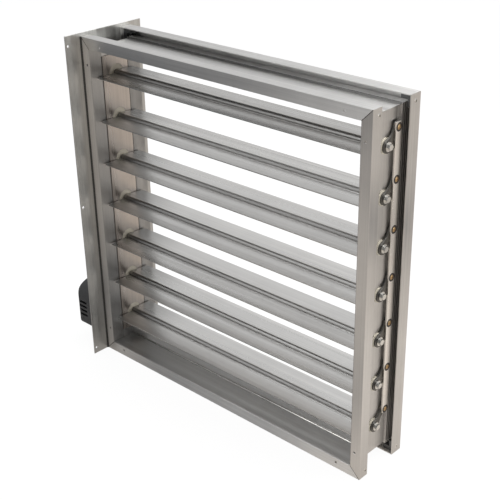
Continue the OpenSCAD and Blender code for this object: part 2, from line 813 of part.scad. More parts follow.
// Waste outside a rounded corner, the corner at the origin and the shape lying towards the turned quadrant
module corner_cut(r, turn) {
    rotate(turn) difference() {
        translate([-overrun, -overrun]) square([r + overrun, r + overrun]);
        translate([r, r]) circle(r);
    }
}

// Housing block from u0 outward, drawn in by an inset
module housing_block(u0, inset) {
    intersection() {
        translate([0, actuator_rear - inset, 0]) rotate([90, 0, 0])
            linear_extrude(actuator_front + actuator_rear - 2 * inset) housing_end_shape(u0, inset);
        translate([0, 0, inset - actuator_below])
            linear_extrude(actuator_above + actuator_below - 2 * inset) housing_plan_shape(u0, inset);
        along_x(u0 - overrun, outer_u - u0 + 2 * overrun) housing_side_shape(inset);
    }
}

// Places a child at each of the cover's four screw posts, one of them inside the round corner
module at_cover_posts() {
    reach = cover_wall + cover_post_r - cover_post_bite;
    for (y = [reach - actuator_front, actuator_rear - reach]) translate([0, y, reach - actuator_below]) children();
    translate([0, actuator_rear - reach, actuator_above - reach]) children();
    translate([0, housing_round - actuator_front - (housing_round - reach) * cos(cover_post_angle),
        actuator_above - housing_round + (housing_round - reach) * sin(cover_post_angle)]) children();
}

module at_gear_posts() {
    for (i = [0 : len(gear_post_y) - 1]) translate([0, gear_post_y[i], gear_post_z[i]]) children();
}

module at_board_posts() {
    for (i = [0 : len(board_post_y) - 1]) translate([0, board_post_y[i], board_post_z[i]]) children();
}

// Base plate with the posts for the gear plate and the board, and the reduction gear's pin
module actuator_base() {
    color([0.20, 0.21, 0.22]) on_plate() difference() {
        union() {
            intersection() {
                housing_block(base_u, 0);
                translate([base_u, -actuator_front, -actuator_below])
                    cube([base_t, actuator_front + actuator_rear, actuator_above + actuator_below]);
            }
            at_gear_posts() rod_x(base_u, gear_plate_u - seat_gap - base_u, post_r);
            at_board_posts() rod_x(base_u, board_u - seat_gap - base_u, post_r);
            translate([0, train_y, train_z]) {
                rod_x(base_u, sector_u - seat_gap - base_u, train_pin_d);
                rod_x(base_u, gear_plate_u + gear_plate_t - base_u, train_pin_d / 2);
            }
        }
        rod_x(base_u - overrun, base_t + 2 * overrun, output_hub_d / 2 + fit_gap);
        at_bracket_feet() rod_x(base_u - overrun, base_t + 2 * overrun, bracket_screw_d / 2 + fit_gap);
        at_cover_posts() translate([base_u, 0, 0]) cover_screw(fit_gap);
    }
}

// Countersunk screw pointing outward from the base's back face
module cover_screw(gap) {
    cone_x(-gap, cover_screw_head_t + gap, cover_screw_head_d / 2 + gap, cover_screw_d / 2 + gap);
    rod_x(cover_screw_head_t, cover_screw_len - cover_screw_head_t + gap, cover_screw_d / 2 + gap);
}

module cover_screws() {
    color([0.60, 0.60, 0.62]) on_plate() at_cover_posts() translate([base_u, 0, 0]) cover_screw(0);
}

// Moulded shell with screw posts, vent slots in its front end, and holes for the hub, button and gland
module actuator_cover() {
    color([0.24, 0.25, 0.27]) on_plate() difference() {
        union() {
            difference() {
                housing_block(cover_u, 0);
                translate([-overrun, 0, 0]) housing_block(cover_u, cover_wall);
            }
            at_cover_posts() rod_x(cover_u, cover_post_len, cover_post_r);
            translate([0, button_y, button_z])
                rod_x(outer_u - cover_wall - guide_len, guide_len + cover_wall / 2, guide_r);
        }
        for (i = [0 : vent_count - 1])
            translate([outer_u - cover_wall - vent_len, -actuator_front, vent_top - i * vent_pitch - vent_h / 2])
                translate([0, -overrun, 0]) cube([vent_len, cover_wall + 2 * overrun, vent_h]);
        at_cover_posts() translate([base_u, 0, 0]) cover_screw(fit_gap);
        rod_x(outer_u - cover_wall - overrun, cover_wall + 2 * overrun, output_hub_d / 2 + run_gap);
        translate([0, button_y, button_z])
            rod_x(outer_u - cover_wall - guide_len - overrun, guide_len + cover_wall + 2 * overrun, button_d / 2 + run_gap);
        translate([gland_u, actuator_rear - cover_wall - overrun, gland_z]) rotate([-90, 0, 0])
            cylinder(h = cover_wall + 2 * overrun, d = gland_thread_d + 2 * fit_gap);
    }
}

// Plate over the gears that carries the motor and the pin's end
module gear_plate() {
    cut_u = gear_plate_u - overrun;
    cut_len = gear_plate_t + 2 * overrun;
    color([0.70, 0.70, 0.72]) on_plate() difference() {
        union() {
            along_x(gear_plate_u, gear_plate_t) polygon([for (i = [0, 1, 3, 2]) [gear_post_y[i], gear_post_z[i]]]);
            at_gear_posts() rod_x(gear_plate_u, gear_plate_t, gear_plate_margin);
        }
        rod_x(cut_u, cut_len, output_hub_d / 2 + overrun);
        translate([0, train_y, train_z]) rod_x(cut_u, cut_len, train_pin_d / 2 + seat_gap);
        translate([0, motor_y, train_z]) rod_x(cut_u, cut_len, motor_boss_d / 2);
    }
}

// Can motor on the gear plate
module motor() {
    color([0.62, 0.62, 0.64]) on_plate() translate([0, motor_y, train_z]) difference() {
        union() {
            rod_x(motor_u, motor_len, motor_d / 2);
            rod_x(motor_u + motor_len, 2 * overrun, motor_boss_d / 2);
        }
        rod_x(motor_u - overrun, motor_len / 2, motor_shaft_d / 2 + fit_gap);
    }
}

function involute(angle) = tan(angle) * 180 / PI - angle;

// Half the angle of a tooth at a radius
function half_tooth(size, teeth, r) =
    90 / teeth - backlash * 45 / (PI * size * teeth / 2) + involute(pressure_angle)
    - involute(acos(min(1, size * teeth / 2 * cos(pressure_angle) / r)));

// One side of a tooth from root to tip, as radius and half angle
function flank(size, teeth) = let (
    pitch_r = size * teeth / 2,
    base_r = pitch_r * cos(pressure_angle),
    root_r = pitch_r - dedendum_share * size,
    tip_r = pitch_r + addendum_share * size,
    start_r = max(base_r, root_r)
) concat(
    [[root_r, half_tooth(size, teeth, start_r)]],
    [for (i = [0 : flank_steps]) let (r = start_r + (tip_r - start_r) * i / flank_steps)
        [r, half_tooth(size, teeth, r)]]
);

// Points of one tooth centred on an angle
function tooth(side, angle) = concat(
    [for (p = side) p[0] * [cos(angle - p[1]), sin(angle - p[1])]],
    [for (i = [len(side) - 1 : -1 : 0]) side[i][0] * [cos(angle + side[i][1]), sin(angle + side[i][1])]]
);

// Full gear with a tooth centred on an angle
module gear_shape(size, teeth, angle) {
    side = flank(size, teeth);
    polygon([for (i = [0 : teeth - 1]) each tooth(side, angle + i * 360 / teeth)]);
}

// Part of a gear, with teeth from the first to the last
module sector_shape(size, teeth, angle, first, last) {
    side = flank(size, teeth);
    polygon(concat([[0, 0]], [for (i = [first : last]) each tooth(side, angle + i * 360 / teeth)]));
}

// Pinion on the motor's shaft, with a gap towards the reduction gear
module motor_pinion() {
    color([0.78, 0.62, 0.32]) on_plate() translate([0, motor_y, train_z]) {
        along_x(wheel_u, wheel_face) gear_shape(motor_module, pinion_teeth, 180 / pinion_teeth);
        rod_x(wheel_u, motor_u + motor_len / 3 - wheel_u, motor_shaft_d / 2);
    }
}

// Wheel and pinion in one piece, turning on the base's pin
module reduction_gear() {
    color([0.90, 0.88, 0.82]) on_plate() translate([0, train_y, train_z]) difference() {
        union() {
            along_x(wheel_u, wheel_face) gear_shape(motor_module, wheel_teeth, 180);
            along_x(sector_u, wheel_u - sector_u + overrun)
                gear_shape(output_module, pinion_teeth, train_angle + 180 + 180 / pinion_teeth);
        }
        rod_x(sector_u - overrun, wheel_u + wheel_face - sector_u + 2 * overrun, train_pin_d / 2 + fit_gap);
    }
}

// Toothed sector on the hollow hub that turns in the base and runs out through the cover
module output_gear() {
    last = ceil(blade_travel * output_teeth / 360) + spare_teeth;
    color([0.88, 0.86, 0.80]) on_plate() difference() {
        union() {
            along_x(sector_u, output_face) sector_shape(output_module, output_teeth, train_angle, -spare_teeth, last);
            rod_x(base_u, hub_end_u - base_u, output_hub_d / 2);
        }
        rod_x(base_u - overrun, hub_end_u - base_u + 2 * overrun, axle_d / 2 + fit_gap);
    }
}

// Split collar with a lug each side of its slit
module shaft_clamp() {
    color([0.58, 0.59, 0.61]) on_plate() difference() {
        union() {
            rod_x(clamp_u, clamp_len, clamp_d / 2);
            translate([clamp_u, 0, -clamp_lug]) cube([clamp_len, clamp_d / 2 + clamp_lug / 2, 2 * clamp_lug]);
        }
        rod_x(clamp_u - overrun, clamp_len + 2 * overrun, axle_d / 2 + fit_gap);
        translate([clamp_u - overrun, 0, -clamp_slit / 2]) cube([clamp_len + 2 * overrun, clamp_d, clamp_slit]);
        translate([clamp_u + clamp_len / 2, clamp_bolt_y, -clamp_lug - overrun])
            cylinder(h = 2 * (clamp_lug + overrun), d = clamp_bolt_d + 2 * fit_gap);
        translate([clamp_u + clamp_len / 2, clamp_bolt_y, clamp_lug])
            cylinder(h = clamp_d, d = clamp_bolt_head_d + 2 * seat_gap);
    }
}

module clamp_bolt() {
    color([0.35, 0.35, 0.37]) on_plate() translate([clamp_u + clamp_len / 2, clamp_bolt_y, 0]) difference() {
        union() {
            translate([0, 0, -clamp_lug]) cylinder(h = 2 * clamp_lug + seat_gap, d = clamp_bolt_d);
            translate([0, 0, clamp_lug + seat_gap]) cylinder(h = clamp_bolt_head_t, d = clamp_bolt_head_d);
        }
        translate([0, 0, clamp_lug + clamp_bolt_head_t / 2])
            cylinder(h = clamp_bolt_head_t, d = clamp_bolt_head_d / 2, $fn = 6);
    }
}

// Ring on the hub with a pointed tongue
module position_pointer() {
    reach = 0.9 * pointer_d;
    color([0.80, 0.55, 0.15]) on_plate() difference() {
        along_x(pointer_u, pointer_t) union() {
            circle(d = pointer_d);
            polygon([[0, pointer_d / 3], [-reach, 0], [0, -pointer_d / 3]]);
        }
        rod_x(pointer_u - overrun, pointer_t + 2 * overrun, output_hub_d / 2 + fit_gap);
    }
}

// Board on the base's posts, with its relay, capacitors and terminal block
module circuit_board() {
    top = board_u + board_t;
    mid_z = (board_z[0] + board_z[1]) / 2;
    relay = [12, 16, 14];
    terminals = [9, 8, 24];
    capacitor_d = 9;
    capacitor_len = 13;
    color([0.12, 0.38, 0.22]) on_plate() {
        translate([board_u, board_y[0], board_z[0]])
            cube([board_t, board_y[1] - board_y[0], board_z[1] - board_z[0]]);
        translate([top, board_y[0] + relay[1] / 4, mid_z]) cube(relay);
        translate([top, board_y[1] - 2 * terminals[1], mid_z - terminals[2] / 2]) cube(terminals);
        for (i = [0, 1]) translate([0, board_y[0] + capacitor_d * (0.6 + 1.3 * i), board_z[0] + capacitor_d])
            rod_x(top, capacitor_len, capacitor_d / 2);
    }
}

// Hex body and domed nut outside the rear wall, threaded neck and lock nut inside
module cable_gland() {
    color([0.12, 0.12, 0.13]) on_plate() translate([gland_u, actuator_rear, gland_z]) rotate([-90, 0, 0])
        difference() {
            union() {
                translate([0, 0, -gland_neck]) cylinder(h = gland_neck + seat_gap, d = gland_thread_d);
                translate([0, 0, seat_gap]) cylinder(h = gland_hex_t, d = gland_hex_d, $fn = 6);
                translate([0, 0, seat_gap + gland_hex_t])
                    cylinder(h = gland_dome_len, d1 = gland_hex_d - 2 * overrun, d2 = gland_thread_d);
                translate([0, 0, -cover_wall - seat_gap - gland_nut_t])
                    cylinder(h = gland_nut_t, d = gland_hex_d, $fn = 6);
            }
            translate([0, 0, -gland_neck - overrun])
                cylinder(h = gland_neck + gland_hex_t + gland_dome_len + 3 * overrun, d = gland_bore_d);
        }
}

// Push button in the cover's guide, kept in by its collar
module release_button() {
    collar_u = outer_u - cover_wall - guide_len - run_gap - button_collar_t;
    color([0.75, 0.75, 0.72]) on_plate() translate([0, button_y, button_z]) {
        rod_x(collar_u, outer_u + button_rise - collar_u, button_d / 2);
        rod_x(collar_u, button_collar_t, guide_r);
    }
}

top_rail();
bottom_rail();
left_post();
right_post();
corner_keys();
corner_screws();
side_plate();
plate_rivets();
left_jamb_seal();
right_jamb_seal();
left_bushes();
right_bushes();
top_blade_stop();
bottom_blade_stop();
stop_seals();
for (k = blade_numbers) blade(k);
for (k = blade_numbers) axle(k);
for (k = blade_numbers) crank_arm(k);
for (k = blade_numbers) crank_fasteners(k);
tie_bar();
actuator_bracket();
bracket_screws();
actuator_base();
actuator_cover();
cover_screws();
gear_plate();
motor();
motor_pinion();
reduction_gear();
output_gear();
shaft_clamp();
clamp_bolt();
position_pointer();
circuit_board();
cable_gland();
release_button();
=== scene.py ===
import math

import bmesh
import bpy
from mathutils import Matrix, Vector
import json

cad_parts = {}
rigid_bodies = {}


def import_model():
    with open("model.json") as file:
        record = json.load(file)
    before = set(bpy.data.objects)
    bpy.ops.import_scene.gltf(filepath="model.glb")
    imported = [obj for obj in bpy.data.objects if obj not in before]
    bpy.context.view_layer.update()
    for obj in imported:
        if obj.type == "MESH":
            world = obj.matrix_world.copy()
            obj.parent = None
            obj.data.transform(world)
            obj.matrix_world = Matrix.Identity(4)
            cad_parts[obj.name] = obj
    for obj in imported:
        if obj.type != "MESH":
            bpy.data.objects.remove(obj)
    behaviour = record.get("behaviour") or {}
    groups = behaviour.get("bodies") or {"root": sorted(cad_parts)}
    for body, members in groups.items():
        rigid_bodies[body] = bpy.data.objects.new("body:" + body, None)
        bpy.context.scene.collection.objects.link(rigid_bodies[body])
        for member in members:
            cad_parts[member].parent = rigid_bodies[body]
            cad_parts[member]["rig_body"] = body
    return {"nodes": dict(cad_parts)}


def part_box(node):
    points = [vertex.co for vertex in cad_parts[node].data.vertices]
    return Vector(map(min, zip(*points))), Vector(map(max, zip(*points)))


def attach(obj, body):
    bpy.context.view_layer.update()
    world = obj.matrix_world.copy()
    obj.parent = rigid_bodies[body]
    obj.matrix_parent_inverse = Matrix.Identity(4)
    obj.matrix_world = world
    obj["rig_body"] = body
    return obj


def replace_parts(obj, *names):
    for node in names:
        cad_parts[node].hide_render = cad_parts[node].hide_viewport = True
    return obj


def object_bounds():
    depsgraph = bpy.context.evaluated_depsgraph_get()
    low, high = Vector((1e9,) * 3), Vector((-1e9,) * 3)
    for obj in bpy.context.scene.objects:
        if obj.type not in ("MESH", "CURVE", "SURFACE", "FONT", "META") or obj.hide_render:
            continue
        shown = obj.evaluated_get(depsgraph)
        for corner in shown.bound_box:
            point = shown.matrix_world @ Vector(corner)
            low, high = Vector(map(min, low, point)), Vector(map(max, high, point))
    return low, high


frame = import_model()
cad_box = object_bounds()
node = frame["nodes"]
scene = bpy.context.scene
scene.view_settings.view_transform = "Standard"


# Camera: it looks down on the damper from ahead of its right post, as the photograph does.
# Its place, turn and focal length come from lines of the frame measured in the photograph.
camera_place = Vector((1.12098, -1.10738, 0.76983))
camera_azimuth, camera_elevation, camera_roll = 0.75381, 0.45410, -0.01772
camera_lens, camera_sensor = 73.60, 36.0

look = Vector((-math.sin(camera_azimuth) * math.cos(camera_elevation),
               math.cos(camera_azimuth) * math.cos(camera_elevation),
               -math.sin(camera_elevation)))
level_right = Vector((math.cos(camera_azimuth), math.sin(camera_azimuth), 0))
level_up = level_right.cross(look)
rolled_right = level_right * math.cos(camera_roll) + level_up * math.sin(camera_roll)
rolled_up = level_up * math.cos(camera_roll) - level_right * math.sin(camera_roll)

camera_data = bpy.data.cameras.new("studio_camera")
camera_data.lens = camera_lens
camera_data.sensor_width = camera_sensor
camera = bpy.data.objects.new("studio_camera", camera_data)
camera.matrix_world = Matrix.Translation(camera_place) @ Matrix(
    (rolled_right, rolled_up, -look)).transposed().to_4x4()
scene.collection.objects.link(camera)
scene.camera = camera


# Studio: a pale floor under the frame's lower flanges and a white backdrop behind it. To
# the bright metal the floor is dark ahead on the left, on the studio's unlit side, and warm
# on the right, and soft shadows cross it at the frame's foot and behind the post.
floor_height = cad_box[0].z
floor_reach = 6.0
floor_colour = (0.80, 0.80, 0.80, 1)

floor_mesh = bmesh.new()
bmesh.ops.create_grid(floor_mesh, x_segments=1, y_segments=1, size=floor_reach)
bmesh.ops.translate(floor_mesh, verts=floor_mesh.verts, vec=(0, 0, floor_height))
floor_data = bpy.data.meshes.new("studio_floor")
floor_mesh.to_mesh(floor_data)
floor_mesh.free()
floor = bpy.data.objects.new("studio_floor", floor_data)
scene.collection.objects.link(floor)


def wire(tree, *pairs):
    """Joins each pair of sockets, an output and the input that it feeds."""
    for source, target in pairs:
        tree.links.new(source, target)


def feed(tree, operand, target):
    """Joins the operand to an input, or sets the input where it is a plain value."""
    if isinstance(operand, bpy.types.NodeSocket):
        tree.links.new(operand, target)
    else:
        target.default_value = operand


def sums(tree, operation, first, second):
    """A Math node's output. Each operand is a socket or a number."""
    made = tree.nodes.new("ShaderNodeMath")
    made.operation = operation
    feed(tree, first, made.inputs[0])
    feed(tree, second, made.inputs[1])
    return made.outputs[0]


def between(tree, value, low, high, to_low=0.0, to_high=1.0):
    """A Map Range node's output: value from low to high becomes to_low to to_high."""
    made = tree.nodes.new("ShaderNodeMapRange")
    made.interpolation_type = "SMOOTHSTEP"
    tree.links.new(value, made.inputs["Value"])
    for name, number in (("From Min", low), ("From Max", high),
                         ("To Min", to_low), ("To Max", to_high)):
        made.inputs[name].default_value = number
    return made.outputs[0]


def overlap(tree, *ranges):
    """The product of several ranges, each a tuple of what between is given."""
    mask = between(tree, *ranges[0])
    for one in ranges[1:]:
        mask = sums(tree, "MULTIPLY", mask, between(tree, *one))
    return mask


mix_share, mix_first, mix_second, mix_colour = 0, 6, 7, 2


def blended(tree, share, first, second):
    """A colour Mix node's output: first where share is 0, second where it is 1."""
    made = tree.nodes.new("ShaderNodeMix")
    made.data_type = "RGBA"
    for socket, operand in ((mix_share, share), (mix_first, first), (mix_second, second)):
        feed(tree, operand, made.inputs[socket])
    return made.outputs[mix_colour]


def axes(tree, place):
    """The X, Y and Z of a place."""
    made = tree.nodes.new("ShaderNodeSeparateXYZ")
    wire(tree, (place, made.inputs[0]))
    return tuple(made.outputs)


# The floor's tones, over ranges in metres: across is X, along is Y, and away is their sum.
floor_dark, floor_warm = (0.105, 0.11, 0.12, 1), (0.62, 0.565, 0.51, 1)
floor_bright = (0.79, 0.725, 0.66, 1)
warm_across = (-1.15, 0.45)
stripe_starts, stripe_ends, stripe_share = (1.35, 1.75), (1.75, 2.1), 0.75
glare_away, glare_across, glare_along, glare_share = (0.8, 1.4), (0.3, 0.5), (-0.1, 0.1), 0.85
foot_ahead, foot_behind = (-0.45, -0.15), (0.0, 0.05)
foot_left, foot_right, foot_share = (-0.35, -0.15), (0.1, 0.3), 0.8
floor_seen, floor_white, lift_seen, lift_mirrored = (1, 1, 1, 1), 1.07, 0.88, 0.95

floor_finish = bpy.data.materials.new("floor_finish")
floor_finish.use_nodes = True
tree = floor_finish.node_tree
tree.nodes.clear()
across, along, _ = axes(tree, tree.nodes.new("ShaderNodeTexCoord").outputs["Object"])
away = sums(tree, "ADD", across, along)
tone = blended(tree, between(tree, across, *warm_across), floor_dark, floor_warm)
stripe = overlap(tree, (away, *stripe_starts), (away, *stripe_ends, stripe_share, 0.0))
tone = blended(tree, stripe, tone, floor_dark)
glare = overlap(tree, (away, *glare_away, glare_share, 0.0), (across, *glare_across),
                (along, *glare_along))
tone = blended(tree, glare, tone, floor_bright)
foot = overlap(tree, (along, *foot_ahead), (along, *foot_behind, 1.0, 0.0),
               (across, *foot_right, foot_share, 0.0), (across, *foot_left))
tone = blended(tree, foot, tone, floor_dark)
path = tree.nodes.new("ShaderNodeLightPath").outputs
mirrored = sums(tree, "MAXIMUM", path["Is Glossy Ray"], path["Is Transmission Ray"])
lifted = sums(tree, "MAXIMUM", sums(tree, "MULTIPLY", path["Is Camera Ray"], lift_seen),
              sums(tree, "MULTIPLY", mirrored, lift_mirrored))
paper = tree.nodes.new("ShaderNodeBsdfDiffuse")
paper.inputs["Color"].default_value = floor_colour
lift = tree.nodes.new("ShaderNodeEmission")
lift.inputs["Strength"].default_value = floor_white
mixed = tree.nodes.new("ShaderNodeMixShader")
output = tree.nodes.new("ShaderNodeOutputMaterial")
wire(tree, (blended(tree, path["Is Camera Ray"], tone, floor_seen), lift.inputs["Color"]),
     (lifted, mixed.inputs[0]), (paper.outputs[0], mixed.inputs[1]),
     (lift.outputs[0], mixed.inputs[2]), (mixed.outputs[0], output.inputs["Surface"]))
floor_data.materials.append(floor_finish)

# The room's tones, over ranges of the direction that is looked in.
low_backdrop, high_backdrop = (0.34, 0.32, 0.30, 1), (0.86, 0.86, 0.86, 1)
backdrop_white = (1.05, 1.05, 1.05, 1)
horizon, left_wall, front_wall = (-0.1, 0.3), (-0.82, -0.66), (-0.5, 0.35)
window_starts, window_ends, window_front = (-0.64, -0.54), (-0.48, -0.40), (-0.4, -0.1)
room_dark, room_top, room_window, room_left = 0.30, 0.95, 2.7, 0.8

room = bpy.data.worlds.new("studio_room")
room.use_nodes = True
scene.world = room
tree = room.node_tree
tree.nodes.clear()
across, along, height = axes(tree, tree.nodes.new("ShaderNodeTexCoord").outputs["Generated"])
upward = between(tree, height, *horizon)
to_left = sums(tree, "MAXIMUM", between(tree, across, *left_wall, room_left, 1.0), upward)
behind = sums(tree, "MULTIPLY", between(tree, along, *front_wall, room_dark, 1.0), to_left)
window = overlap(tree, (across, *window_starts, 0.0, room_window),
                 (across, *window_ends, 1.0, 0.0), (along, *window_front, 1.0, 0.0))
level = sums(tree, "MULTIPLY", sums(tree, "MAXIMUM", behind, window), room_top)
seen = tree.nodes.new("ShaderNodeLightPath").outputs["Is Camera Ray"]
tone = blended(tree, seen, blended(tree, upward, low_backdrop, high_backdrop), backdrop_white)
glow = tree.nodes.new("ShaderNodeBackground")
output = tree.nodes.new("ShaderNodeOutputWorld")
wire(tree, (tone, glow.inputs["Color"]), (glow.outputs[0], output.inputs["Surface"]),
     (sums(tree, "MAXIMUM", level, seen), glow.inputs["Strength"]))


def soft_lamp(name, place, aim, size, power, tint):
    """A square softbox that faces the point aim."""
    data = bpy.data.lights.new(name, "AREA")
    data.shape = "SQUARE"
    data.size = size
    data.energy = power
    data.color = tint
    lamp = bpy.data.objects.new(name, data)
    lamp.location = place
    lamp.rotation_euler = (Vector(aim) - Vector(place)).to_track_quat("-Z", "Y").to_euler()
    scene.collection.objects.link(lamp)


soft_lamp("overhead_softbox", place=(0.3, 0.5, 2.1), aim=(0, 0.05, 0), size=1.8, power=42,
          tint=(1, 0.99, 0.97))
soft_lamp("right_softbox", place=(2.3, 0.2, 0.6), aim=(0.3, 0.05, 0), size=1.0, power=5,
          tint=(1, 0.97, 0.93))


# Top and bottom rails: extruded channels of mill-finish aluminium, open side outward, each
# mitred at its ends and keyed to the posts. The mill grain runs along the rail. Painted shade
# darkens the lower one's web, and a painted shadow line lies along the upper one's first rib.
aluminium = (0.79, 0.785, 0.775, 1)
along_rail, channel_roughness = (3, 420, 420), 0.38


def effect_group(name, inputs, outputs):
    """A shader node group with named sockets. Returns the group, its inputs and its outputs."""
    made = bpy.data.node_groups.new(name, "ShaderNodeTree")
    for label, kind, start in inputs:
        socket = made.interface.new_socket(label, in_out="INPUT", socket_type=kind)
        if start is not None:
            socket.default_value = start
    for label, kind in outputs:
        made.interface.new_socket(label, in_out="OUTPUT", socket_type=kind)
    return (made, made.nodes.new("NodeGroupInput").outputs,
            made.nodes.new("NodeGroupOutput").inputs)


def noise(tree, place, **settings):
    """A Noise Texture node over a place, with values on its named sockets."""
    made = tree.nodes.new("ShaderNodeTexNoise")
    wire(tree, (place, made.inputs["Vector"]))
    for label, setting in settings.items():
        feed(tree, setting, made.inputs[label])
    return made.outputs["Fac"]


# Mill grain: fine streaks and broad bands, in even shares, for a place stretched along them.
fine_range, broad_range, grain_share = (0.3, 0.7), (0.35, 0.65), 0.5

mill_grain, given, gives = effect_group(
    "mill_grain",
    (("Place", "NodeSocketVector", None), ("Depth", "NodeSocketFloat", 0.5)),
    (("Shade", "NodeSocketFloat"), ("Height", "NodeSocketFloat"), ("Haze", "NodeSocketFloat")))
fine = noise(mill_grain, given["Place"], Scale=1.0, Detail=4.0, Roughness=0.65)
broad = noise(mill_grain, given["Place"], Scale=0.16, Detail=3.0)
streak = between(mill_grain, fine, *fine_range, -1.0, 1.0)
band = between(mill_grain, broad, *broad_range, -1.0, 1.0)
both = sums(mill_grain, "ADD", sums(mill_grain, "MULTIPLY", streak, grain_share),
            sums(mill_grain, "MULTIPLY", band, grain_share))
wire(mill_grain, (sums(mill_grain, "MULTIPLY", both, given["Depth"]), gives["Shade"]),
     (fine, gives["Height"]), (band, gives["Haze"]))

# Handling: cloudy marks of hands and weather, and scuffs that are scuff_finer times as fine.
cloud_range, scuff_range, scuff_finer = (0.35, 0.7), (0.62, 0.72), 7.0

handling, given, gives = effect_group(
    "handling",
    (("Place", "NodeSocketVector", None), ("Size", "NodeSocketFloat", 9.0)),
    (("Cloud", "NodeSocketFloat"), ("Scuff", "NodeSocketFloat")))
cloud = noise(handling, given["Place"], Scale=given["Size"], Detail=5.0, Roughness=0.6)
scuff = noise(handling, given["Place"], Detail=2.0, Distortion=1.6,
              Scale=sums(handling, "MULTIPLY", given["Size"], scuff_finer))
wire(handling, (between(handling, cloud, *cloud_range), gives["Cloud"]),
     (between(handling, scuff, *scuff_range), gives["Scuff"]))


def new_finish(name):
    """A new material. Returns it, its tree, its shader's inputs and the place on the piece."""
    made = bpy.data.materials.new(name)
    made.use_nodes = True
    tree = made.node_tree
    place = tree.nodes.new("ShaderNodeTexCoord").outputs["Object"]
    return made, tree, tree.nodes["Principled BSDF"].inputs, place


def effect(tree, group, place, **settings):
    """A node group over a place, with values on its named sockets. Returns its outputs."""
    made = tree.nodes.new("ShaderNodeGroup")
    made.node_tree = group
    wire(tree, (place, made.inputs["Place"]))
    for label, setting in settings.items():
        made.inputs[label].default_value = setting
    return made.outputs


def shaded(tree, colour, value):
    """A colour times a value that changes over the surface."""
    made = tree.nodes.new("ShaderNodeVectorMath")
    made.operation = "SCALE"
    made.inputs[0].default_value = colour[:3]
    wire(tree, (value, made.inputs["Scale"]))
    return made.outputs[0]


def dented(tree, height, strength, depth):
    """The normals of a surface that a height pattern dents."""
    made = tree.nodes.new("ShaderNodeBump")
    made.inputs["Strength"].default_value = strength
    made.inputs["Distance"].default_value = depth
    wire(tree, (height, made.inputs["Height"]))
    return made.outputs[0]


grain_depth, metal_scuff = 0.0004, 0.06
drawn_pull, drawn_turn = 0.95, 0.25


def metal_finish(name, colour, grain, roughness, shade=0.10, haze=0.08, relief=0.04,
                 cloudiness=0.08, drawn=None, toned=None):
    """Bare metal: grain gives how fast the streaks change along X, Y and Z, in turns a metre.
    drawn is the way it was drawn, and toned(tree, place) gives a factor on its brightness."""
    made, tree, face, place = new_finish(name)
    face["Metallic"].default_value = 1.0
    if drawn:
        face["Anisotropic"].default_value = drawn_pull
        face["Anisotropic Rotation"].default_value = drawn_turn
        along = tree.nodes.new("ShaderNodeCombineXYZ")
        for axis, pull in enumerate(drawn):
            along.inputs[axis].default_value = pull
        wire(tree, (along.outputs[0], face["Tangent"]))
    stretch = tree.nodes.new("ShaderNodeMapping")
    stretch.inputs["Scale"].default_value = grain
    wire(tree, (place, stretch.inputs["Vector"]))
    streaks = effect(tree, mill_grain, stretch.outputs[0], Depth=shade)
    marks = effect(tree, handling, place)
    clouded = sums(tree, "SUBTRACT", 1.0, sums(tree, "MULTIPLY", marks["Cloud"], cloudiness))
    value = sums(tree, "ADD", streaks["Shade"], clouded)
    if toned:
        value = sums(tree, "MULTIPLY", value, toned(tree, place))
    gloss = sums(tree, "ADD", roughness, sums(tree, "MULTIPLY", streaks["Haze"], haze))
    gloss = sums(tree, "ADD", gloss, sums(tree, "MULTIPLY", marks["Scuff"], metal_scuff))
    wire(tree, (shaded(tree, colour, value), face["Base Color"]), (gloss, face["Roughness"]),
         (dented(tree, streaks["Height"], relief, grain_depth), face["Normal"]))
    return made


def dress(names, finish):
    """Gives each CAD node's whole surface one finish."""
    for name in names:
        data = node[name].data
        data.materials.clear()
        data.materials.append(finish)


smooth_below = math.radians(34)


def added(name, shell, finish, body):
    """A new piece from a finished bmesh: smooth but for its sharp edges, riding a body."""
    bmesh.ops.recalc_face_normals(shell, faces=shell.faces)
    data = bpy.data.meshes.new(name)
    shell.to_mesh(data)
    shell.free()
    if "custom_normal" in data.attributes:
        data.attributes.remove(data.attributes["custom_normal"])
    data.shade_smooth()
    data.set_sharp_from_angle(angle=smooth_below)
    data.materials.clear()
    data.materials.append(finish)
    piece = bpy.data.objects.new(name, data)
    scene.collection.objects.link(piece)
    even = piece.modifiers.new("even_normals", "WEIGHTED_NORMAL")
    even.keep_sharp = True
    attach(piece, body)
    return piece


merge_within, flat_below, filed_above = 0.00001, math.radians(0.5), math.radians(40)
filed_steps = 3


def copied(name):
    """A bmesh of a CAD node's surface, its doubled corners merged."""
    shell = bmesh.new()
    shell.from_mesh(node[name].data)
    bmesh.ops.remove_doubles(shell, verts=shell.verts, dist=merge_within)
    return shell


def filed(shell, width, steps, turned=filed_above, shortest=0.0):
    """Breaks a shell's edges as a file does, where they turn by more than the angle turned."""
    bmesh.ops.dissolve_limit(shell, angle_limit=flat_below, verts=shell.verts,
                             edges=shell.edges)
    sharp = [edge for edge in shell.edges if edge.is_manifold
             and edge.calc_length() > shortest and abs(edge.calc_face_angle()) > turned]
    bmesh.ops.bevel(shell, geom=sharp, offset=width, offset_type="OFFSET", segments=steps,
                    profile=0.5, affect="EDGES", material=-1, clamp_overlap=True)


def softened(name, width, finish, shortest=0.0):
    """A copy of a CAD node with its sharp edges broken. It stands for the node."""
    shell = copied(name)
    filed(shell, width, filed_steps, shortest=shortest)
    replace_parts(added(name + "_soft", shell, finish, node[name]["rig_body"]), name)


# Painted shade lies on the lower web behind the flange, and a painted shadow line on the upper
# web's first rib. The ranges that end in _web, and the rib line's top range, are heights over
# the web; the rest are places.
lower_shade_share, lower_shade_web = 0.28, (-0.001, -0.0005)
lower_half, behind_flange = (0.0, 0.001), (0.002, 0.003)
rib_shade_share, rib_shade_starts, rib_shade_ends = 0.70, (0.0923, 0.0929), (0.0957, 0.0963)
rib_shade_web, rib_shade_top = (0.0005, 0.001), (0.0052, 0.0056)


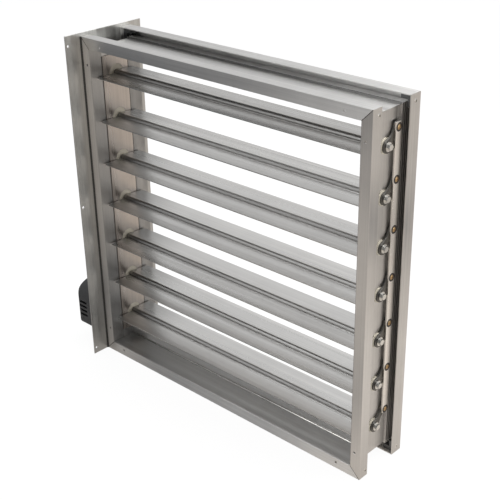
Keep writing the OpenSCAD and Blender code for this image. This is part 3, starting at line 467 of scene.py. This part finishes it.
def rail_shade(tree, place):
    """Less than 1 on the lower rail's web and on the upper's first rib: painted shade."""
    _, along, height = axes(tree, place)
    over_low = sums(tree, "SUBTRACT", height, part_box("bottom_rail")[1].z)
    over_high = sums(tree, "SUBTRACT", height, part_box("top_rail")[0].z)
    shade_patch = overlap(tree, (over_low, *lower_shade_web), (height, *lower_half, lower_shade_share, 0.0),
                   (along, *behind_flange))
    line = overlap(tree, (along, *rib_shade_starts, 0.0, rib_shade_share), (along, *rib_shade_ends, 1.0, 0.0),
                   (over_high, *rib_shade_web), (over_high, *rib_shade_top, 1.0, 0.0))
    return sums(tree, "SUBTRACT", sums(tree, "SUBTRACT", 1.0, shade_patch), line)


filed_edge, channel_shortest = 0.0005, 0.004
rail_finish = metal_finish("rail_mill_finish", aluminium, along_rail, channel_roughness,
                           drawn=(1, 0, 0), toned=rail_shade)
dress(("top_rail", "bottom_rail"), rail_finish)
for name in ("top_rail", "bottom_rail"):
    softened(name, filed_edge, rail_finish, shortest=channel_shortest)


# Posts: the same channel cut to the frame's height, with the axle holes punched in the web.
# The web's strips ahead of and behind the jamb seal are painted darker, as shade, and painted
# shade lies in the channel behind the tie bar. Dirt in the mitres draws a fine dark line.
along_post = (420, 420, 3)
web_shade_share, web_shade_front, web_shade_rear = 0.32, (0.026, 0.028), (0.084, 0.086)
channel_shade_share, channel_shade_rear = 0.50, (0.088, 0.104)
web_starts, lip_starts = (0.301, 0.302), (0.316, 0.317)


def post_shade(tree, place):
    """Less than 1 on the web's inner face, except under the jamb seal, and in the channel
    outside behind the tie bar: painted shade.
    """
    across, along, _ = axes(tree, place)
    sideways = sums(tree, "ABSOLUTE", across, 0.0)
    strips = sums(tree, "ADD", between(tree, along, *web_shade_front, 1.0, 0.0),
                  between(tree, along, *web_shade_rear))
    inner = between(tree, sideways, *web_starts, web_shade_share, 0.0)
    shade_patch = overlap(tree, (sideways, *web_starts), (sideways, *lip_starts, 1.0, 0.0),
                   (along, *channel_shade_rear, 0.0, channel_shade_share))
    web_shaded = sums(tree, "SUBTRACT", 1.0, sums(tree, "MULTIPLY", inner, strips))
    return sums(tree, "SUBTRACT", web_shaded, shade_patch)


post_finish = metal_finish("post_mill_finish", aluminium, along_post, channel_roughness,
                           drawn=(0, 0, 1), toned=post_shade)
dress(("left_post", "right_post"), post_finish)
for name in ("left_post", "right_post"):
    softened(name, filed_edge, post_finish, shortest=channel_shortest)


def outlined(places):
    """A bmesh of one closed line through the places."""
    shell = bmesh.new()
    corners = [shell.verts.new(place) for place in places]
    for i in range(len(corners)):
        shell.edges.new((corners[i - 1], corners[i]))
    return shell


def drawn_out(shell, way):
    """Fills a bmesh's one closed line and draws it out along way, into a bar."""
    face = bmesh.ops.edgeloop_fill(shell, edges=shell.edges)["faces"]
    moved = bmesh.ops.extrude_face_region(shell, geom=face)["geom"]
    corners = [corner for corner in moved if isinstance(corner, bmesh.types.BMVert)]
    bmesh.ops.translate(shell, verts=corners, vec=way)
    return shell


mitre_half, mitre_lift, mitre_t = 0.0006, 0.00008, 0.00004
mitre_dirt = metal_finish("mitre_dirt", (0.09, 0.08, 0.07, 1), along_post, roughness=0.6)
inner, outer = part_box("right_post")
inner_z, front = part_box("top_rail")[0].z, inner.y - mitre_lift
for side, label in ((-1, "left"), (1, "right")):
    for end, place in ((-1, "bottom"), (1, "top")):
        line = [(side * x, front, end * z) for x, z in (
            (inner.x + mitre_half, inner_z), (outer.x, outer.z - mitre_half),
            (outer.x - mitre_half, outer.z), (inner.x, inner_z + mitre_half))]
        added(f"mitre_{place}_{label}", drawn_out(outlined(line), (0, mitre_t, 0)), mitre_dirt,
              "frame")


# Corner keys and screws: pressed steel angles that join the channels inside each corner. The
# zinc-plated countersunk screws hold them to the posts' lips.
any_way = (160, 160, 160)
zinc_plate = (0.80, 0.79, 0.76, 1)
key_steel = metal_finish("key_steel", (0.16, 0.165, 0.17, 1), any_way, roughness=0.42)
dress(("corner_keys",), key_steel)
dress(("corner_screws",), metal_finish("corner_zinc", zinc_plate, any_way, roughness=0.28))


# Side plate: flat aluminium sheet riveted to the left post, with the strip holes for a duct.
# A dark bead in the corner by the post's front flange is painted shade of the gap there.
plate_shortest = 0.008
plate_finish = metal_finish("plate_mill_finish", (0.68, 0.68, 0.66, 1), along_post,
                            roughness=0.40)
dress(("side_plate",), plate_finish)
softened("side_plate", filed_edge, plate_finish, shortest=plate_shortest)
dress(("plate_rivets",), metal_finish("rivet_aluminium", aluminium, any_way, roughness=0.30))

mould_depth, mould_scuff, mould_marks = 0.0002, 0.08, 26.0


def moulded_finish(name, colour, roughness, grain=900.0, relief=0.12, shade=0.06):
    """Moulded plastic or rubber: one colour, a fine grain from the mould and faint dirt."""
    made, tree, face, place = new_finish(name)
    marks = effect(tree, handling, place, Size=mould_marks)
    value = sums(tree, "SUBTRACT", 1.0, sums(tree, "MULTIPLY", marks["Cloud"], shade))
    gloss = sums(tree, "ADD", roughness, sums(tree, "MULTIPLY", marks["Scuff"], mould_scuff))
    spark = noise(tree, place, Scale=grain, Detail=2.0)
    wire(tree, (shaded(tree, colour, value), face["Base Color"]), (gloss, face["Roughness"]),
         (dented(tree, spark, relief, mould_depth), face["Normal"]))
    return made


bead_reach, bead_gap, bead_steps = 0.0026, 0.0001, 6


def bead(corner, start, centre, axis, way):
    """A bmesh bead: a corner closed by a quarter arc from start round centre, along way."""
    shell = bmesh.new()
    foot, first = shell.verts.new(corner), shell.verts.new(start)
    last = bmesh.ops.spin(shell, geom=[first], cent=centre, axis=axis, angle=math.pi / 2,
                          steps=bead_steps)["geom_last"][0]
    shell.edges.new((foot, first))
    shell.edges.new((foot, last))
    return drawn_out(shell, way)


# The bead's near-black colour is painted shade of the gap between plate and flange.
gap_shade_finish = moulded_finish("painted_gap_shade", (0.05, 0.047, 0.044, 1), roughness=0.55, grain=500.0,
                         relief=0.3)
low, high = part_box("left_post")
corner = Vector((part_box("side_plate")[1].x + bead_gap, low.y - bead_gap, low.z))
hollow = bead(corner, start=corner + Vector((0, -bead_reach, 0)),
              centre=corner + Vector((bead_reach, -bead_reach, 0)), axis=(0, 0, -1),
              way=(0, 0, high.z - low.z))
added("corner_gap_shade", hollow, gap_shade_finish, "frame")


# Jamb seals: thin stainless strips, bowed so that they press on the blades' ends. A dark strip
# on the post's web along each long edge is painted shade under the bowed strip's edge.
seal_stainless = metal_finish("seal_stainless", (0.66, 0.60, 0.55, 1), along_post,
                              roughness=0.34)
dress(("left_jamb_seal", "right_jamb_seal"), seal_stainless)

# The dark strips along the seals' edges are painted shade under the bowed strips.
edge_shade_w, edge_shade_t = 0.0020, 0.0006
seal_edge_shade = moulded_finish("painted_seal_edge_shade", (0.13, 0.115, 0.105, 1), roughness=0.55, grain=500.0,
                        relief=0.3)
for side, name, web in ((1, "left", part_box("left_post")[1].x),
                        (-1, "right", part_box("right_post")[0].x)):
    low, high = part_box(f"{name}_jamb_seal")
    foot_x = web + side * bead_gap
    crown_x = foot_x + side * edge_shade_t
    for edge, start, end in (("front", low.y - edge_shade_w, low.y - bead_gap),
                             ("rear", high.y + bead_gap, high.y + edge_shade_w)):
        line = [(foot_x, start, low.z), (foot_x, end, low.z),
                (crown_x, end - edge_shade_t / 2, low.z), (crown_x, start + edge_shade_t / 2, low.z)]
        added(f"{name}_mastic_{edge}", drawn_out(outlined(line), (0, 0, high.z - low.z)),
              seal_edge_shade, "frame")


# Bushes: cream nylon, moulded with a collar, and pressed into the holes of the posts' webs at
# each end of each axle.
cream_nylon = moulded_finish("cream_nylon", (0.86, 0.80, 0.67, 1), roughness=0.35)
dress(("left_bushes", "right_bushes"), cream_nylon)


# Blade stops: aluminium angles across the airway that the first and last blades close on,
# with a black rubber strip each. A fine weld runs along the lower one's foot, its left half
# painted darker, as shade.
stop_finish = metal_finish("stop_mill_finish", aluminium, along_rail, channel_roughness)
dress(("top_blade_stop", "bottom_blade_stop"), stop_finish)
dress(("stop_seals",), moulded_finish("black_rubber", (0.03, 0.03, 0.03, 1), roughness=0.62))

weld_reach, weld_inset = 0.0022, 0.004
weld_shade_share, weld_shade_range = 0.42, (0.10, 0.20)
weld_ripple = (90, 90, 90)


def weld_shade(tree, place):
    """Less than 1 on the weld's left half: painted shade."""
    return between(tree, axes(tree, place)[0], *weld_shade_range, weld_shade_share, 1.0)


weld_finish = metal_finish("weld_aluminium", (0.97, 0.955, 0.92, 1), weld_ripple,
                           roughness=0.22, toned=weld_shade)
low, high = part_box("bottom_blade_stop")
foot = Vector((low.x + weld_inset, low.y - bead_gap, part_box("bottom_rail")[1].z + bead_gap))
bulge = bead(foot, start=foot + Vector((0, 0, weld_reach)), centre=foot, axis=(1, 0, 0),
             way=(high.x - low.x - 2 * weld_inset, 0, 0))
added("stop_weld", bulge, weld_finish, "frame")


# Blades: seven hollow aluminium aerofoils, extruded in one piece with the hub, whose rear
# wing's top stands above the front wing's in a step at the axle line. The step and the left
# ends are painted darker, as shade.
rows = range(1, 8)
blade_edge, blade_shortest = 0.0004, 0.02
step_shade_share, step_shade_starts, step_shade_ends = 0.34, (0.0498, 0.0508), (0.0545, 0.0555)
left_shade_share, left_shade_reach = 0.42, 0.14


def blade_shade(tree, place):
    """Less than 1 on the step and near the left end: painted shade."""
    across, along, _ = axes(tree, place)
    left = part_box("blade_1")[0].x
    band = overlap(tree, (along, *step_shade_starts), (along, *step_shade_ends, step_shade_share, 0.0))
    left_shade = between(tree, across, left, left + left_shade_reach, 1 - left_shade_share, 1.0)
    return sums(tree, "MULTIPLY", left_shade, sums(tree, "SUBTRACT", 1.0, band))


blade_finish = metal_finish("blade_mill_finish", (0.68, 0.675, 0.665, 1), along_rail,
                            roughness=0.34, relief=0.02, cloudiness=0.05, toned=blade_shade)
dress([f"blade_{k}" for k in rows], blade_finish)
for k in rows:
    softened(f"blade_{k}", blade_edge, blade_finish, shortest=blade_shortest)


# Axles: round zinc-plated steel rods through the blades' hubs. The lowest runs on through the
# left post and the side plate into the actuator.
axle_zinc = metal_finish("axle_zinc", (0.70, 0.70, 0.68, 1), along_rail, roughness=0.30)
dress([f"axle_{k}" for k in rows], axle_zinc)


# Crank arms: stamped steel, oiled dark, one on each axle's right end, where a flat turns it
# and a screw holds it.
arm_edge = 0.0003
arm_finish = metal_finish("arm_dark_steel", (0.17, 0.165, 0.155, 1), any_way, roughness=0.36)
dress([f"crank_arm_{k}" for k in rows], arm_finish)
for k in rows:
    softened(f"crank_arm_{k}", arm_edge, arm_finish)


# Crank fasteners: a zinc-plated hexagon screw on its washer at each axle, and a tubular brass
# rivet at each pivot, with a thin dark ring under its head: painted shade of the hole round it.
washer_out, washer_in, washer_t, washer_turns = 0.0072, 0.0033, 0.00018, 32
washer_lift, pivot_inset = 0.00006, 0.0045
head_edge, head_steps, head_above = 0.0002, 2, math.radians(50)
# The dark ring under each rivet head is painted shade of the hole round the rivet.
rivet_ring_shade = moulded_finish("painted_rivet_ring_shade", (0.035, 0.03, 0.028, 1), roughness=0.6)
screw_finish = metal_finish("fastener_zinc", zinc_plate, any_way, roughness=0.24)
rivet_finish = metal_finish("rivet_brass_finish", (0.50, 0.35, 0.19, 1), any_way,
                            roughness=0.30)
for k in rows:
    low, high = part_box(f"crank_fasteners_{k}")
    split = (low.y + high.y) / 2
    for part, finish, slot in (("screw", screw_finish, "zinc"),
                               ("rivet", rivet_finish, "rivet_brass")):
        shell = copied(f"crank_fasteners_{k}")
        gone = [corner for corner in shell.verts if (corner.co.y > split) == (part == "screw")]
        bmesh.ops.delete(shell, geom=gone, context="VERTS")
        filed(shell, head_edge, head_steps, turned=head_above)
        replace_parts(added(f"pivot_{part}_{k}", shell, finish, f"blade_row_{k}"),
                    f"crank_fasteners_{k}")
    pivot = Vector((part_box("tie_bar")[1].x + washer_lift, high.y - pivot_inset,
                    high.z - pivot_inset))
    shell = outlined([pivot + Vector((x, r, 0)) for x, r in (
        (0, washer_in), (0, washer_out), (washer_t, washer_out - washer_t / 2),
        (washer_t, washer_in))])
    bmesh.ops.spin(shell, geom=shell.verts[:] + shell.edges[:], cent=pivot, axis=(1, 0, 0),
                   angle=math.tau, steps=washer_turns, use_merge=True)
    bmesh.ops.remove_doubles(shell, verts=shell.verts, dist=merge_within)
    added(f"pivot_washer_{k}", shell, rivet_ring_shade, f"blade_row_{k}")


# Tie bar: a flat aluminium bar that joins the seven arms, so that the blades turn together.
# Each arm's rivet passes through one of its seven holes.
bar_edge, bar_shortest = 0.0004, 0.002
bar_finish = metal_finish("bar_mill_finish", (0.97, 0.94, 0.90, 1), along_post, roughness=0.25)
dress(("tie_bar",), bar_finish)
softened("tie_bar", bar_edge, bar_finish, shortest=bar_shortest)


# Actuator: a charcoal moulded housing over a small geared motor, on a steel bracket that is
# screwed to the side plate. Its gears turn the lowest axle through a zinc-plated clamp.
housing = moulded_finish("charcoal_housing", (0.060, 0.062, 0.065, 1), roughness=0.42)
bracket_steel = metal_finish("bracket_steel", (0.62, 0.62, 0.62, 1), any_way, roughness=0.38)
actuator_zinc = metal_finish("actuator_zinc", zinc_plate, any_way, roughness=0.28)
gear_brass = metal_finish("gear_brass", (0.78, 0.58, 0.26, 1), any_way, roughness=0.30)
dress(("actuator_base", "actuator_cover"), housing)
dress(("actuator_bracket", "gear_plate", "motor"), bracket_steel)
dress(("cover_screws", "bracket_screws", "shaft_clamp", "clamp_bolt"), actuator_zinc)
dress(("motor_pinion", "output_gear"), gear_brass)
for name, plastic, colour, roughness in (
        ("reduction_gear", "gear_plastic", (0.82, 0.82, 0.78, 1), 0.35),
        ("position_pointer", "pointer_plastic", (0.85, 0.30, 0.05, 1), 0.4),
        ("circuit_board", "board_green", (0.03, 0.17, 0.07, 1), 0.4),
        ("cable_gland", "gland_plastic", (0.03, 0.03, 0.03, 1), 0.45),
        ("release_button", "button_plastic", (0.10, 0.10, 0.11, 1), 0.4)):
    dress((name,), moulded_finish(plastic, colour, roughness))
